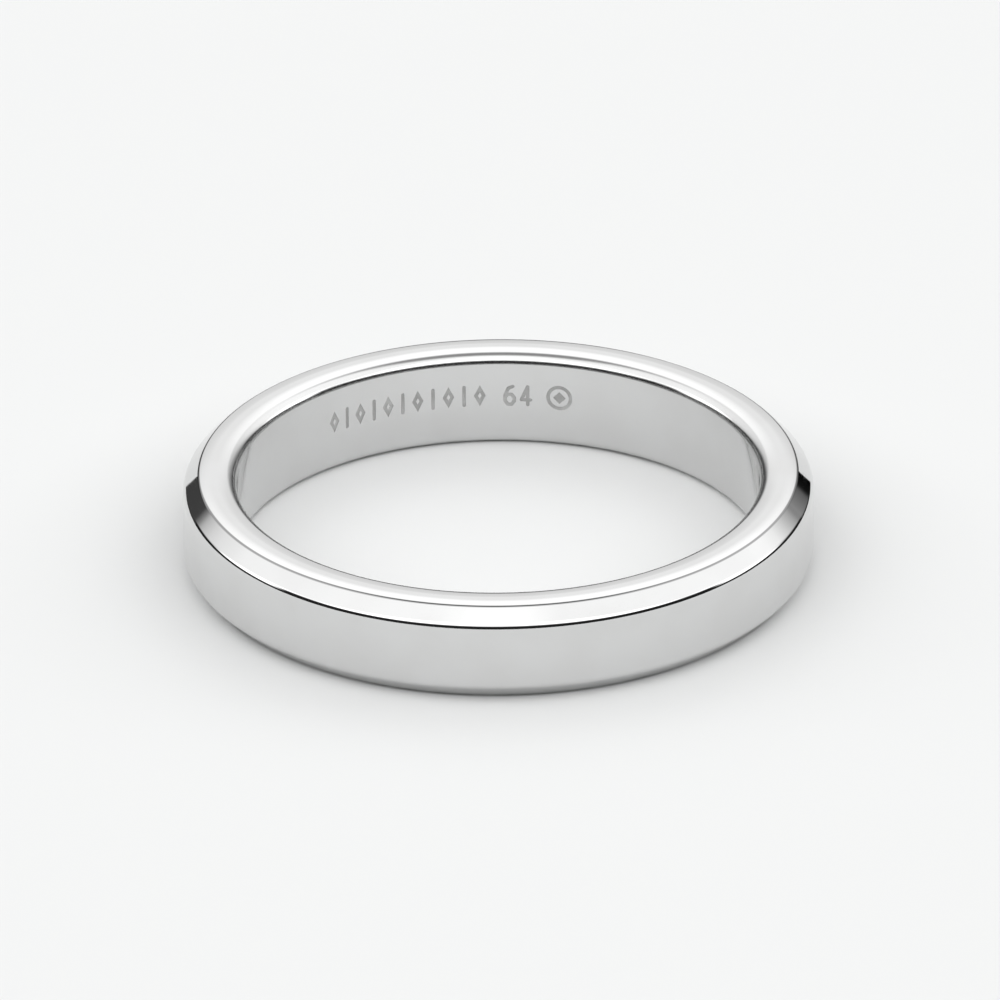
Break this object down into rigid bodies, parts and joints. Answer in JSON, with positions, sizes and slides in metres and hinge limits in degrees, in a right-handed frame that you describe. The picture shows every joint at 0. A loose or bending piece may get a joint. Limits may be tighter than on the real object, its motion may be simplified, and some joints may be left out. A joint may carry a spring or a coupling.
{
  "type": "wedding band",
  "caption": "Plain polished steel wedding band with bevelled edges, a rounded bore edge and shallow engraved marks inside the bore.",
  "frame": {"origin": "on the bore's axis, halfway across the band's width", "axes": "+Z along the bore; +Y towards the middle of the engraved marks, which are inside the bore; the band is a body of revolution apart from those marks"},
  "size_m": [0.0246, 0.0246, 0.004],
  "materials": {
    "polished_steel": "mirror polished stainless steel",
    "engraving_oxide": "matt dark laser oxide"
  },
  "bodies": {
    "root": {"band": "polished_steel", "size_mark": "engraving_oxide", "ornament_mark": "engraving_oxide", "roundel_mark": "engraving_oxide"}
  },
  "joints": []
}
